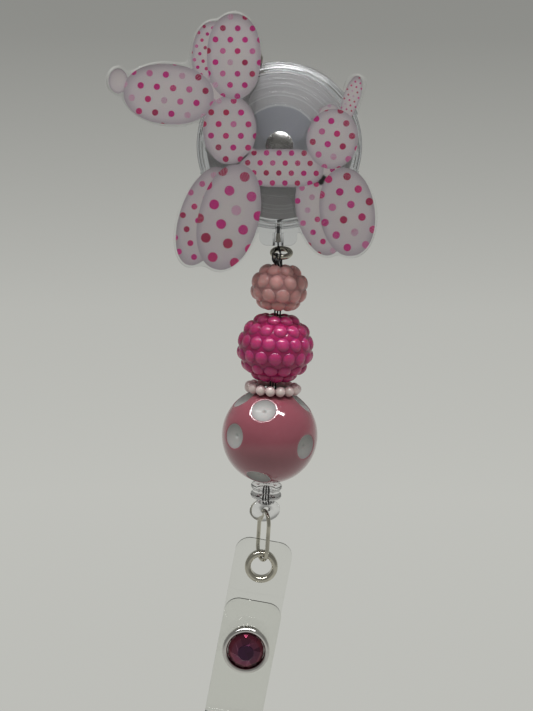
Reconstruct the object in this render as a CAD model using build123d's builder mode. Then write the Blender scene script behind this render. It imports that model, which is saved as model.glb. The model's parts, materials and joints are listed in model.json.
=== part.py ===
from build123d import *
from math import cos, pi, radians, sin
import os

# Retractable badge reel: a clear sprung reel on a swivelling garment clip, a balloon-dog topper,
# a pendant of beads and a clear snap strap for the badge.
#
# Frame: +Z up, the front faces -Y. The origin is on the rivet's axis, at the reel's rear face.
# A "depth" is a distance forward of that face, so a point at depth d has y = -d. Millimetres.

os.makedirs("parts", exist_ok=True)

# ---- driving dimensions -----------------------------------------------------------------------
case_r = 16.4                # reel outer radius
case_depth = 6.4             # parting plane between rear case and front cover
cover_depth = 9.5            # front face of the cover
wall = 1.2                   # case wall
cavity_r = case_r - wall
post_r = 2.3                 # spool post, round the rivet
post_depth = 7.6
rivet_r = 1.5
running_gap = 0.05           # radial clearance of what turns on a shaft

spool_r = 14.0
spring_chamber_r = 8.2
cord_seat_r = 8.9            # radius of the cord's first layer seat
spool_depths = (1.9, 2.5, 6.3, 6.9)   # rear flange, groove and front flange limits
cord_d = 0.9
cord_layers = 3
cord_turns_per_layer = 4
layer_rise = 0.85            # each layer settles a little between the turns below it
spring_strip = 0.16          # thickness and width of the mainspring's steel
spring_width = 3.7
spring_turns = 9

outlet_w = 7.6               # nozzle block
outlet_bottom = 19.7         # its lower face, below the rivet axis
outlet_depths = (3.1, case_depth)
outlet_top = 15.0            # inside the case wall, where the block starts
outlet_round = 1.6
flange_w = 10.4              # the wider root of the nozzle block
flange_top = 13.5
flange_bottom = 17.1
cord_depth = 4.75            # plane of the cord, the beads and the strap

pad_depths = (cover_depth, 10.7)
acrylic_depths = (10.7, 13.7)
print_depths = (13.7, 13.8)
dome_depths = (13.8, 14.8)
clear_margin = 0.45          # clear border round the printed balloons

string_tilt = 3.0            # degrees from plumb, lower end to the left
ring_x = 0.7                 # jump ring centre
ring_drop = 21.2
ring_r = 1.8
ring_wire_r = 0.55
ring_pitch = 25.0            # degrees that the ring's front edge dips

strap_tilt = 10.0
strap_w = 12.0
vinyl = 0.5
strap_top = 5.7              # end of the strap above the eyelet centre
snap_drop = 17.4             # snap centre below the eyelet centre
flap_top = 10.6              # rounded end of the flap above the snap centre
fold_drop = 15.5             # fold below the snap centre
fold_rise = 1.25             # straight back layer ends this much above the fold
strap_corner = 3.0           # radius on the strap's free corners
flap_depth = 7.0             # rear face of the front layer
strap_depth = 4.5            # rear face of the back layer

clip_turn = 27.0             # degrees that the clip is turned left of straight up
clip_w = 9.0
clip_length = 24.5           # rivet to jaw tip
clip_plate = 0.8
clip_pin_at = (9.0, 4.4)     # along the clip, and behind the reel
clip_pin_r = 0.8
dome_step = 0.35             # the dome's front layer is this much smaller all round


# ---- planes and directions --------------------------------------------------------------------
def facing(depth, x=0.0, z=0.0, tilt=0.0):
    """Plane at a depth that faces the front: local x right, local y up, turned by tilt."""
    return Plane(
        origin=(x, -depth, z),
        x_dir=(cos(radians(tilt)), 0, -sin(radians(tilt))),
        z_dir=(0, -1, 0),
    )


def slanted(tilt):
    """Unit vectors across and up a direction that leans by tilt in the XZ plane."""
    lean = radians(tilt)
    return Vector(cos(lean), 0, -sin(lean)), Vector(sin(lean), 0, cos(lean))


def finish(builder, name):
    builder.part.label = name
    export_step(builder.part, f"parts/{name}.step")


ring_centre = Vector(ring_x, -cord_depth, -ring_drop)
string_up = slanted(string_tilt)[1]
string_side = facing(cord_depth, ring_centre.X, ring_centre.Z, string_tilt)
string_axis = Axis(ring_centre, string_up)


def string_plane(down):
    """Front-facing plane whose origin is a distance down the string from the ring."""
    point = ring_centre - string_up * down
    return facing(cord_depth, point.X, point.Z, string_tilt)


eyelet_on_string = 65.65      # eyelet centre, measured down the string from the ring
eyelet_centre = ring_centre - string_up * eyelet_on_string
strap_across, strap_up = slanted(strap_tilt)
snap_centre = eyelet_centre - strap_up * snap_drop
front_dir = Vector(0, -1, 0)


def turned_about(point):
    """Plane for turned parts on the strap: local x is the radius, local y the depth."""
    origin = Vector(point.X, 0, point.Z)
    return Plane(origin=origin, x_dir=strap_across, z_dir=strap_across.cross(front_dir))


def strap_axis_at(point):
    return Axis(Vector(point.X, 0, point.Z), front_dir)


def strap_face(depth, point):
    return facing(depth, point.X, point.Z, strap_tilt)


clip_along = Vector(-sin(radians(clip_turn)), 0, cos(radians(clip_turn)))
clip_across = Vector(-cos(radians(clip_turn)), 0, -sin(radians(clip_turn)))
clip_side = Plane(origin=(0, 0, 0), x_dir=clip_along, z_dir=clip_across)


def clip_face(y):
    return Plane(origin=(0, y, 0), x_dir=clip_across, z_dir=(0, 1, 0))


# ---- reel -------------------------------------------------------------------------------------
with BuildPart() as rear_case:
    with BuildSketch(Plane.XY):
        with BuildLine():
            Polyline((0, 0), (case_r - 0.8, 0), (case_r, -0.8), (case_r, -case_depth),
                     (0, -case_depth), close=True)
        make_face()
    revolve(axis=Axis.Y)
    with BuildSketch(facing(outlet_depths[0] - 0.6)):
        with Locations((0, -(flange_bottom + flange_top) / 2)):
            Rectangle(flange_w, flange_bottom - flange_top)
    extrude(amount=case_depth - outlet_depths[0] + 0.6)
    with BuildSketch(facing(outlet_depths[0])):
        with Locations((0, -(outlet_bottom + outlet_top) / 2)):
            block = Rectangle(outlet_w, outlet_bottom - outlet_top)
        fillet(block.vertices().group_by(Axis.Z)[0], outlet_round)
    extrude(amount=outlet_depths[1] - outlet_depths[0])
    with BuildSketch(facing(wall)):
        Circle(cavity_r)
    extrude(amount=case_depth - wall, mode=Mode.SUBTRACT)
    with BuildSketch(facing(wall)):
        Circle(post_r)
    extrude(amount=post_depth - wall)
    with BuildSketch(facing(0)):
        Circle(rivet_r + running_gap)
    extrude(amount=post_depth, mode=Mode.SUBTRACT)
    ferrule_seat_r = 1.15
    ferrule_seat_top = 17.1
    with BuildSketch(Plane.XY.offset(-outlet_bottom)):
        with Locations((0, -cord_depth)):
            Circle(ferrule_seat_r)
    extrude(amount=outlet_bottom - ferrule_seat_top, mode=Mode.SUBTRACT)
    with BuildSketch(Plane.XY.offset(-outlet_bottom)):
        with Locations((0, -cord_depth)):
            Circle(cord_d / 2 + 0.2)
    extrude(amount=outlet_bottom - cavity_r + 1.5, mode=Mode.SUBTRACT)
finish(rear_case, "rear_case")

with BuildPart() as front_cover:
    # the outer face steps down in rings from the flat centre to the rim
    with BuildSketch(Plane.XY):
        with BuildLine():
            Polyline(
                (case_r, -case_depth), (case_r, -7.0), (16.0, -7.4), (15.7, -7.4), (15.6, -7.8),
                (14.3, -8.0), (14.1, -8.4), (13.1, -8.4), (13.0, -8.8), (12.1, -8.8), (12.0, -9.1),
                (10.5, -9.1), (10.3, -cover_depth), (8.35, -cover_depth), (8.35, -9.3), (8.05, -9.3),
                (8.05, -cover_depth), (rivet_r + running_gap, -cover_depth),
                (rivet_r + running_gap, -8.2), (9.8, -8.2), (12.2, -7.8), (14.4, -7.3),
                (cavity_r, -6.9), (cavity_r, -case_depth), close=True)
        make_face()
    revolve(axis=Axis.Y)
finish(front_cover, "front_cover")

with BuildPart() as spool:
    rear_edge, groove_rear, groove_front, front_edge = spool_depths
    with BuildSketch(Plane.XY):
        with BuildLine():
            Polyline(
                (post_r + running_gap, -groove_front), (spring_chamber_r, -groove_front),
                (spring_chamber_r, -rear_edge), (spool_r, -rear_edge), (spool_r, -groove_rear),
                (cord_seat_r, -groove_rear), (cord_seat_r, -groove_front), (spool_r, -groove_front),
                (spool_r, -front_edge), (3.3, -front_edge), (3.3, -post_depth + 0.2),
                (post_r + running_gap, -post_depth + 0.2), close=True)
        make_face()
    revolve(axis=Axis.Y)
finish(spool, "spool")

wound_r = cord_seat_r + cord_layers * layer_rise + 0.05
with BuildPart() as wound_cord:
    with BuildSketch(Plane.XY):
        width = cord_turns_per_layer * cord_d
        with Locations(((cord_seat_r + wound_r) / 2 + 0.02, -(groove_rear + groove_front) / 2)):
            coil = Rectangle(wound_r - cord_seat_r - 0.04, width)
        fillet(coil.vertices(), 0.4)
    revolve(axis=Axis.Y)
finish(wound_cord, "wound_cord")
wound_lengths = [2 * pi * (cord_seat_r + cord_d / 2 + layer_rise * n) for n in range(cord_layers)]
print("wound cord length", cord_turns_per_layer * sum(wound_lengths))

with BuildPart() as mainspring:
    # half circles on two centres wind outward from the post
    pitch = (spring_chamber_r - post_r - 0.5) / spring_turns
    with BuildSketch(facing(2.2)):
        with BuildLine():
            for half in range(2 * spring_turns):
                centre_x = 0.0 if half % 2 == 0 else -pitch / 2
                radius = post_r + 0.2 + pitch * half / 2
                start = 0 if half % 2 == 0 else 180
                CenterArc((centre_x, 0), radius, start, 180)
        trace(line_width=spring_strip)
    extrude(amount=spring_width)
finish(mainspring, "mainspring")

tangent_r = wound_r + cord_d / 2 + 0.1
bend_at = Vector(0, -cord_depth, -14.7)
seat_at = Vector(0, -cord_depth, -ferrule_seat_top)
with BuildPart() as cord_run:
    # the cord leaves the coil at its right and bends down into the outlet
    swing = radians(-47)
    leaves_at = Vector(tangent_r * cos(swing), -cord_depth, tangent_r * sin(swing))
    with BuildLine():
        FilletPolyline(leaves_at, bend_at, seat_at, radius=2.2)
    with BuildSketch(Plane(origin=leaves_at, z_dir=bend_at - leaves_at)):
        Circle(cord_d / 2)
    sweep()
finish(cord_run, "cord_run")

with BuildPart() as centre_rivet:
    head_r = 2.7
    head_face = cover_depth + 0.1
    head_top = 10.45
    with BuildSketch(Plane.XY):
        with BuildLine():
            Polyline((0.3, -head_top), (0, -head_top), (0, 2.0), (1.8, 2.0), (2.3, 1.6), (2.3, 1.3),
                     (rivet_r, 1.3), (rivet_r, -head_face), (head_r, -head_face),
                     (head_r, -head_face - 0.15))
            ThreePointArc((head_r, -head_face - 0.15), (1.6, -10.28), (0.3, -head_top))
        make_face()
    revolve(axis=Axis.Y)
finish(centre_rivet, "centre_rivet")

with BuildPart() as adhesive_pad:
    with BuildSketch(facing(pad_depths[0])):
        with Locations((0, -5.5)):
            RectangleRounded(12.6, 4.6, 1.0)
    extrude(amount=pad_depths[1] - pad_depths[0])
finish(adhesive_pad, "adhesive_pad")

# ---- topper -----------------------------------------------------------------------------------
# each balloon: centre x, centre z, half width, half height, turn in degrees
BALLOONS = (
    (-30.9, 11.7, 1.8, 2.3, 0), (-21.3, 9.3, 8.6, 5.6, -4), (-8.9, 16.4, 5.1, 7.9, 0),
    (-13.2, 17.2, 3.6, 5.7, -9), (-9.6, 2.7, 5.1, 6.5, 0), (-9.7, -13.9, 5.8, 10.4, -14),
    (-14.5, -13.8, 4.6, 9.9, -19), (10.1, 1.2, 4.9, 5.7, -8), (9.2, 6.5, 1.9, 1.1, 18),
    (7.9, -12.9, 4.4, 8.4, 15), (13.2, -12.7, 5.3, 8.5, 9), (-12.0, 9.2, 2.7, 3.3, 0),
    (-5.6, -2.6, 2.0, 2.0, 0), (9.6, -5.6, 2.8, 2.4, 0),
)
BODY = (0.5, -4.4, 16.0, 7.3)        # centre x, centre z, length, height of the middle balloon
TAIL = (13.6, 8.9, 8.4, 3.1, -17)    # centre x, centre z, length, width, turn


def balloon_dog(margin=0.0):
    """Draw the union of the balloons, grown by a margin, in the current sketch."""
    for x, z, half_w, half_h, turn in BALLOONS:
        with Locations(Location((x, z, 0), (0, 0, turn))):
            Ellipse(half_w + margin, half_h + margin)
    with Locations((BODY[0], BODY[1])):
        RectangleRounded(BODY[2] + 2 * margin, BODY[3] + 2 * margin, BODY[3] * 0.45)
    with Locations(Location((TAIL[0], TAIL[1], 0), (0, 0, TAIL[4] + 90))):
        SlotOverall(TAIL[2] + 2 * margin, TAIL[3] + 2 * margin)


with BuildPart() as topper_print:
    with BuildSketch(facing(print_depths[0])):
        balloon_dog()
    extrude(amount=print_depths[1] - print_depths[0])
finish(topper_print, "topper_print")

# the clear layers stand a little outside the balloons
with BuildPart() as topper_acrylic:
    with BuildSketch(facing(acrylic_depths[0])):
        balloon_dog(clear_margin)
    extrude(amount=acrylic_depths[1] - acrylic_depths[0])
finish(topper_acrylic, "topper_acrylic")

with BuildPart() as topper_dome:
    # two layers, the front one a little smaller, for the dome's rounded edge
    dome_rear, dome_front = dome_depths
    dome_middle = (dome_rear + dome_front) / 2
    for start, margin in ((dome_rear, clear_margin), (dome_middle, clear_margin - dome_step)):
        with BuildSketch(facing(start)):
            balloon_dog(margin)
        extrude(amount=(dome_front - dome_rear) / 2)
finish(topper_dome, "topper_dome")

# ---- garment clip -----------------------------------------------------------------------------
with BuildPart() as swivel_washer:
    with BuildSketch(clip_face(0.1)):
        Circle(4.0)
        Circle(rivet_r + running_gap, mode=Mode.SUBTRACT)
    extrude(amount=0.4)
finish(swivel_washer, "swivel_washer")

base_y = 0.5
ear_t = 0.6
pin_l, pin_y = clip_pin_at
with BuildPart() as clip_base:
    with BuildSketch(clip_face(base_y)):
        with Locations((0, (clip_length - 5.0) / 2)):
            plan = Rectangle(clip_w, clip_length + 5.0)
        fillet(plan.vertices().group_by(Axis((0, base_y, 0), clip_along))[0], 4.0)
        Circle(rivet_r, mode=Mode.SUBTRACT)
    extrude(amount=clip_plate)
    with BuildSketch(clip_side):
        with Locations((clip_length - 0.5, base_y + 1.1)):
            Rectangle(1.0, 2.2)
    extrude(amount=clip_w / 2, both=True)
    for side in (-1, 1):
        with BuildSketch(clip_side.offset(side * (clip_w - ear_t) / 2)):
            with Locations((pin_l, (base_y + pin_y) / 2)):
                Rectangle(4.4, pin_y - base_y)
            with Locations(clip_pin_at):
                Circle(2.2)
        extrude(amount=ear_t / 2, both=True)
    with BuildSketch(clip_side):
        with Locations(clip_pin_at):
            Circle(clip_pin_r)
    extrude(amount=clip_w, both=True, mode=Mode.SUBTRACT)
finish(clip_base, "clip_base")

lever_w = clip_w - 2 * ear_t - 0.4
with BuildPart() as clip_lever:
    # a cranked plate: thumb pad, bridge over the pin, then down to the jaw
    with BuildSketch(clip_side):
        with BuildLine():
            Polyline((-5.5, 9.0), (5.0, 7.2), (11.0, 6.6), (19.0, 4.4), (24.0, 3.6), (24.1, 3.2))
        trace(line_width=clip_plate)
    extrude(amount=lever_w / 2, both=True)
    for side in (-1, 1):
        with BuildSketch(clip_side.offset(side * (lever_w - ear_t) / 2)):
            with Locations((pin_l, (pin_y + 6.8) / 2)):
                Rectangle(3.6, 6.8 - pin_y)
            with Locations(clip_pin_at):
                Circle(1.8)
        extrude(amount=ear_t / 2, both=True)
    with BuildSketch(clip_side):
        with Locations(clip_pin_at):
            Circle(clip_pin_r + running_gap)
    extrude(amount=clip_w, both=True, mode=Mode.SUBTRACT)
finish(clip_lever, "clip_lever")

with BuildPart() as clip_pin:
    with BuildSketch(clip_side):
        with Locations(clip_pin_at):
            Circle(clip_pin_r)
    extrude(amount=clip_w / 2 + 0.4, both=True)
finish(clip_pin, "clip_pin")

spring_wire_r = 0.28
spring_coil_r = 1.35
with BuildPart() as clip_spring:
    coil_w = 4.4
    coil_start = clip_along * pin_l + Vector(0, pin_y, 0) - clip_across * (coil_w / 2)
    with BuildLine():
        coil_line = Helix(0.63, coil_w, spring_coil_r, center=coil_start, direction=clip_across)
    with BuildSketch(Plane(origin=coil_line @ 0, z_dir=coil_line % 0)):
        Circle(spring_wire_r)
    sweep(is_frenet=True)
finish(clip_spring, "clip_spring")

# ---- cord end and ring ------------------------------------------------------------------------
with BuildPart() as cord_ferrule:
    ferrule_top = ferrule_seat_top + 0.15
    ferrule_bottom = 19.0
    with BuildSketch(Plane.XY.offset(-ferrule_top)):
        with Locations((0, -cord_depth)):
            Circle(0.55)
    with BuildSketch(Plane.XY.offset(-ferrule_bottom)):
        with Locations((0, -cord_depth)):
            Circle(0.9)
    loft()
finish(cord_ferrule, "cord_ferrule")

lean = radians(ring_pitch)
ring_up = Vector(0, -sin(lean), cos(lean))
with BuildPart() as jump_ring:
    with BuildSketch(Plane(origin=ring_centre, x_dir=(1, 0, 0), z_dir=(0, -cos(lean), -sin(lean)))):
        with Locations((ring_r, 0)):
            Circle(ring_wire_r)
    revolve(axis=Axis(ring_centre, ring_up))
finish(jump_ring, "jump_ring")

# ---- beads on the string: centre below the ring, radius, half height ---------------------------
bead_bore_r = 1.3
bundle_r = 0.9
BEADS = {
    "pink_bead": (7.0, 6.0, 5.0),
    "magenta_bead": (19.35, 8.0, 7.2),
    "polka_bead": (37.65, 9.9, 9.85),
}
for name, (centre, radius, half_height) in BEADS.items():
    with BuildPart() as bead:
        with BuildSketch(string_side):
            with Locations((0, -centre)):
                Ellipse(radius, half_height)
            with Locations(((bead_bore_r - radius) / 2, -centre)):
                Rectangle(radius + bead_bore_r, 2 * half_height, mode=Mode.SUBTRACT)
        revolve(axis=string_axis)
    finish(bead, name)

pearl_centre = 27.7
with BuildPart() as pearl_spacer:
    pearl_circle_r = 4.85
    pearl_r = 1.03
    with BuildSketch(string_side):
        with Locations((pearl_circle_r, -pearl_centre)):
            Circle(pearl_r)
    revolve(axis=string_axis)
finish(pearl_spacer, "pearl_spacer")

rondelle_centre = 49.3
with BuildPart() as clear_rondelle:
    half = 1.75
    with BuildSketch(string_plane(rondelle_centre)):
        with BuildLine():
            Polyline((bead_bore_r, -half), (2.3, -half), (3.2, -half + 0.8), (3.2, -0.4), (2.7, 0),
                     (3.2, 0.4), (3.2, half - 0.8), (2.3, half), (bead_bore_r, half), close=True)
        make_face()
    revolve(axis=string_axis)
finish(clear_rondelle, "clear_rondelle")

link_top = 53.75
loop_hole_r = 0.95
link_yaw = 22.0              # degrees that the link's plane is turned from the depth direction
link_out = Vector(sin(radians(link_yaw)), -cos(radians(link_yaw)), 0)
with BuildPart() as end_loop:
    loop_centre = 53.55
    with BuildSketch(string_plane(loop_centre)):
        Ellipse(3.35, 2.55)
        with Locations((-1.7, 0)):
            Rectangle(3.4, 5.2, mode=Mode.SUBTRACT)
        with Locations((0, 2.5), (0, -2.5)):
            Rectangle(6.7, 0.3, mode=Mode.SUBTRACT)
    revolve(axis=string_axis)
    loop_thickness = 2.6
    with BuildSketch(Plane(origin=ring_centre - string_up * loop_centre, z_dir=link_out)):
        Circle(5)
    extrude(amount=loop_thickness / 2, both=True, mode=Mode.INTERSECT)
    with BuildSketch(Plane(origin=ring_centre - string_up * 50.0, z_dir=-string_up)):
        Circle(bundle_r + 0.05)
    extrude(amount=2.4, mode=Mode.SUBTRACT)
    with BuildSketch(Plane(origin=ring_centre - string_up * link_top, z_dir=link_out)):
        Circle(loop_hole_r)
    extrude(amount=5, both=True, mode=Mode.SUBTRACT)
finish(end_loop, "end_loop")

with BuildPart() as bead_cord:
    # one solid for the bundle of strands that carries the beads
    bundle_top = 2.1
    with BuildSketch(Plane(origin=ring_centre - string_up * bundle_top, z_dir=-string_up)):
        Circle(bundle_r)
    extrude(amount=52.4 - bundle_top)
finish(bead_cord, "bead_cord")

link_bottom = 64.2
link_half_w = 2.6
link_wire_r = 0.42
with BuildPart() as oval_link:
    half_straight = (link_bottom - link_top) / 2 - link_half_w
    middle = ring_centre - string_up * (link_top + link_bottom) / 2
    link_side = link_out - string_up * link_out.dot(string_up)
    with BuildLine(Plane(origin=middle, x_dir=link_side, z_dir=link_side.cross(string_up))):
        Line((link_half_w, -half_straight), (link_half_w, half_straight))
        CenterArc((0, half_straight), link_half_w, 0, 180)
        Line((-link_half_w, half_straight), (-link_half_w, -half_straight))
        CenterArc((0, -half_straight), link_half_w, 180, 180)
    start = middle + link_side.normalized() * link_half_w
    with BuildSketch(Plane(origin=start, z_dir=string_up)):
        Circle(link_wire_r)
    sweep()
finish(oval_link, "oval_link")

# ---- strap: back layer with its fold, front flap, eyelet and snap ------------------------------
strap_bottom = snap_drop + fold_drop - fold_rise
eyelet_hole_r = 2.2
eyelet_wall = 0.3
shank_r = 1.4
with BuildPart() as strap:
    with BuildSketch(strap_face(strap_depth, eyelet_centre)):
        with Locations((0, (strap_top - strap_bottom) / 2)):
            layer = Rectangle(strap_w, strap_top + strap_bottom)
        fillet(layer.vertices().group_by(Axis(eyelet_centre, strap_up))[-1], strap_corner)
        Circle(eyelet_hole_r + eyelet_wall, mode=Mode.SUBTRACT)
        with Locations((0, -snap_drop)):
            Circle(shank_r, mode=Mode.SUBTRACT)
    extrude(amount=vinyl)
    fold_mid_depth = (strap_depth + flap_depth + vinyl) / 2
    fold_outer_r = (flap_depth + vinyl - strap_depth) / 2
    fold_at = eyelet_centre - strap_up * strap_bottom
    fold_origin = Vector(fold_at.X, -fold_mid_depth, fold_at.Z)
    with BuildSketch(Plane(origin=fold_origin, x_dir=front_dir, z_dir=-strap_across)):
        Circle(fold_outer_r)
        Circle(fold_outer_r - vinyl, mode=Mode.SUBTRACT)
        with Locations((0, fold_outer_r / 2)):
            Rectangle(2.2 * fold_outer_r, fold_outer_r, mode=Mode.SUBTRACT)
    extrude(amount=strap_w / 2, both=True)
finish(strap, "strap")

flap_gap = 0.3
with BuildPart() as strap_flap:
    flap_low = -strap_bottom + flap_gap
    flap_high = -snap_drop + flap_top
    with BuildSketch(strap_face(flap_depth, eyelet_centre)):
        with Locations((0, (flap_low + flap_high) / 2)):
            layer = Rectangle(strap_w, flap_high - flap_low)
        fillet(layer.vertices().group_by(Axis(eyelet_centre, strap_up))[-1], strap_corner)
        with Locations((0, -snap_drop)):
            Circle(shank_r, mode=Mode.SUBTRACT)
    extrude(amount=vinyl)
finish(strap_flap, "strap_flap")

eyelet_r = 3.45
with BuildPart() as eyelet:
    barrel_r = eyelet_hole_r + eyelet_wall
    strap_front = strap_depth + vinyl
    crest = strap_front + 0.95
    with BuildSketch(turned_about(eyelet_centre)):
        with BuildLine():
            Polyline((barrel_r, strap_front), (barrel_r, 3.9), (eyelet_hole_r, 3.9),
                     (eyelet_hole_r, strap_front + 0.4))
            ThreePointArc((eyelet_hole_r, strap_front + 0.4), (2.85, crest),
                          (eyelet_r, strap_front + 0.3))
            Polyline((eyelet_r, strap_front + 0.3), (eyelet_r, strap_front), (barrel_r, strap_front))
        make_face()
    revolve(axis=strap_axis_at(eyelet_centre))
finish(eyelet, "eyelet")

with BuildPart() as eyelet_washer:
    with BuildSketch(strap_face(3.8, eyelet_centre)):
        Circle(eyelet_r - 0.1)
        Circle(barrel_r, mode=Mode.SUBTRACT)
    extrude(amount=strap_depth - 3.8)
finish(eyelet_washer, "eyelet_washer")

cap_r = 4.95
gem_r = 3.75
gem_base = 8.0
flap_front = flap_depth + vinyl
with BuildPart() as snap_cap:
    with BuildSketch(turned_about(snap_centre)):
        with BuildLine():
            Polyline((0, flap_front - 0.5), (shank_r, flap_front - 0.5), (shank_r, flap_front),
                     (cap_r - 0.35, flap_front), (cap_r, flap_front + 0.5))
            ThreePointArc((cap_r, flap_front + 0.5), (cap_r - 0.35, 8.8), (gem_r + 0.2, 9.0))
            Polyline((gem_r + 0.2, 9.0), (gem_r + 0.2, gem_base), (0, gem_base), (0, flap_front - 0.5))
        make_face()
    revolve(axis=strap_axis_at(snap_centre))
finish(snap_cap, "snap_cap")

with BuildPart() as snap_gem:
    with BuildSketch(turned_about(snap_centre)):
        with BuildLine():
            Polyline((0, gem_base), (gem_r, gem_base), (gem_r + 0.15, 8.6), (3.0, 9.3), (1.6, 9.9),
                     (0, 9.9), close=True)
        make_face()
    revolve(axis=strap_axis_at(snap_centre))
finish(snap_gem, "snap_gem")

nub_r = 1.85
socket_rear = 6.0
with BuildPart() as snap_socket:
    with BuildSketch(strap_face(socket_rear, snap_centre)):
        Circle(4.3)
    extrude(amount=flap_depth - socket_rear)
    fillet(snap_socket.edges().group_by(Axis.Y)[-1], 0.3)
    with BuildSketch(strap_face(socket_rear, snap_centre)):
        Circle(nub_r + 0.25)
    extrude(amount=0.95, mode=Mode.SUBTRACT)
finish(snap_socket, "snap_socket")

with BuildPart() as snap_stud:
    with BuildSketch(turned_about(snap_centre)):
        with BuildLine():
            Polyline((0, strap_front), (4.2, strap_front), (4.2, 5.3), (2.1, 5.5), (nub_r - 0.2, 5.7),
                     (nub_r, 6.3), (nub_r - 0.4, 6.8), (0, 6.8), close=True)
        make_face()
    revolve(axis=strap_axis_at(snap_centre))
finish(snap_stud, "snap_stud")

with BuildPart() as snap_post:
    with BuildSketch(turned_about(snap_centre)):
        with BuildLine():
            Polyline((0, strap_front), (shank_r, strap_front), (shank_r, strap_depth), (4.0, strap_depth),
                     (3.8, 4.0), (0, 3.8), close=True)
        make_face()
    revolve(axis=strap_axis_at(snap_centre))
finish(snap_post, "snap_post")

flap_hinge = eyelet_centre - strap_up * (strap_bottom - flap_gap / 2)
for label, point in (
    ("ring", ring_centre),
    ("string up", string_up),
    ("link top", ring_centre - string_up * link_top),
    ("link bottom", ring_centre - string_up * link_bottom),
    ("link axis", link_out),
    ("eyelet", eyelet_centre),
    ("strap across", strap_across),
    ("flap hinge", Vector(flap_hinge.X, -flap_front - 0.05, flap_hinge.Z)),
    ("clip pin", clip_along * pin_l + Vector(0, pin_y, 0)),
    ("clip across", clip_across),
):
    print(label, [round(value, 4) for value in point])
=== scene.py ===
import json
from math import asin, cos, exp, pi, radians, sin, sqrt

import bmesh
import bpy
from bpy.props import FloatProperty, FloatVectorProperty, PointerProperty
from mathutils import Matrix, Vector


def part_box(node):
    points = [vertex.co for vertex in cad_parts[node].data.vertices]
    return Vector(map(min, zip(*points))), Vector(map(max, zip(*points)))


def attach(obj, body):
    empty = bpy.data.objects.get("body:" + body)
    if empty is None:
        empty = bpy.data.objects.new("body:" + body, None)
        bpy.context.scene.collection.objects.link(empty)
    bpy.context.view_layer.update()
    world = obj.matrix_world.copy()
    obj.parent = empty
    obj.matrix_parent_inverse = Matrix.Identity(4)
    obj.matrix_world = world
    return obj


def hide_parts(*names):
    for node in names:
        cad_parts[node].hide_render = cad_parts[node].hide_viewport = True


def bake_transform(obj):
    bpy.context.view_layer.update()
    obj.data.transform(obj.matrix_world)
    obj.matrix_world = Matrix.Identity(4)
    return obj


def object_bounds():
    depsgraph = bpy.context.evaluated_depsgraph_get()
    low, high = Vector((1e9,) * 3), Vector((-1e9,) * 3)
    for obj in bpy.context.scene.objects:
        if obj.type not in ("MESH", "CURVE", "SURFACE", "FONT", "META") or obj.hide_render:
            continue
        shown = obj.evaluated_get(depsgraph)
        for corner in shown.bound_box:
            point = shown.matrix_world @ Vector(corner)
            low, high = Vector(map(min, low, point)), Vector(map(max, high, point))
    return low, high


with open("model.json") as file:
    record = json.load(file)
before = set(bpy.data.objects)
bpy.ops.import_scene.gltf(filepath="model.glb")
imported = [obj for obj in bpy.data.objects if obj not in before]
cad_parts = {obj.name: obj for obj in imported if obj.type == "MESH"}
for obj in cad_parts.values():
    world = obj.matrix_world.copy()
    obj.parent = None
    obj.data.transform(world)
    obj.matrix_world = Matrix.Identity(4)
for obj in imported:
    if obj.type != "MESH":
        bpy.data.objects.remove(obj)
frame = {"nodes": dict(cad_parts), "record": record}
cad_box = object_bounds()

bl_info = {
    "name": "Badge Reel Parts",
    "version": (1, 0, 0),
    "blender": (4, 5, 0),
    "location": "View3D > Sidebar > Badge Reel",
    "description": "Builds the looks of a retractable badge reel round its mechanical frame",
    "category": "Object",
}

MM = 0.001
JOINTS = {joint["name"]: joint for joint in frame["record"]["behaviour"]["joints"]}


# ---- places, all from the frame ----
def centre(node):
    low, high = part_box(node)
    return (Vector(low) + Vector(high)) / 2


def lean_basis(across, up):
    """Rotation whose x is across, z is up and y points away from the viewer."""
    across, up = Vector(across).normalized(), Vector(up).normalized()
    away = up.cross(across).normalized()
    return Matrix((across, away, up)).transposed().to_4x4()


RING = Vector(JOINTS["string_swing"]["pos_m"])
STRING_UP = Vector(JOINTS["pink_bead_spin"]["axis"]).normalized()
STRING = Matrix.Translation(RING) @ lean_basis(Vector((0, -1, 0)).cross(STRING_UP) * -1, STRING_UP)
LINK_AXIS = Vector(JOINTS["link_swing"]["axis"]).normalized()
STRAP_ACROSS = Vector(JOINTS["flap_open"]["axis"]).normalized()
STRAP_UP = STRAP_ACROSS.cross(Vector((0, -1, 0))) * -1
if STRAP_UP.z < 0:
    STRAP_UP = -STRAP_UP
EYELET = centre("eyelet")
SNAP = centre("snap_cap")
REEL_FACE = -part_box("front_cover")[0][1]      # depth of the cover's front face


def down_string(node):
    """How far a node's middle is below the ring, along the string."""
    return (RING - centre(node)).dot(STRING_UP)


# ---- mesh helpers ----
def new_object(name, data):
    """A new object in the scene, at its origin."""
    made = bpy.data.objects.new(name, data)
    bpy.context.scene.collection.objects.link(made)
    return made


def to_object(bm, name, finish, body, place=None, smooth=True, replaces=(), recalc=True):
    """Turn a bmesh into a finished piece that rides on a body."""
    bmesh.ops.remove_doubles(bm, verts=bm.verts, dist=1e-7)
    if place is not None:
        bmesh.ops.transform(bm, matrix=place, verts=bm.verts)
    if recalc:
        bmesh.ops.recalc_face_normals(bm, faces=bm.faces)
    for face in bm.faces:
        face.smooth = smooth
    mesh = bpy.data.meshes.new(name)
    bm.to_mesh(mesh)
    bm.free()
    piece = new_object(name, mesh)
    mesh.materials.append(finish)
    if replaces:
        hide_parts(*replaces)
    if body:
        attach(piece, body)
    return piece


def join(bm, other):
    """Add a second bmesh's shape to the first."""
    spare = bpy.data.meshes.new("joined")
    other.to_mesh(spare)
    other.free()
    bm.from_mesh(spare)
    bpy.data.meshes.remove(spare)


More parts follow.
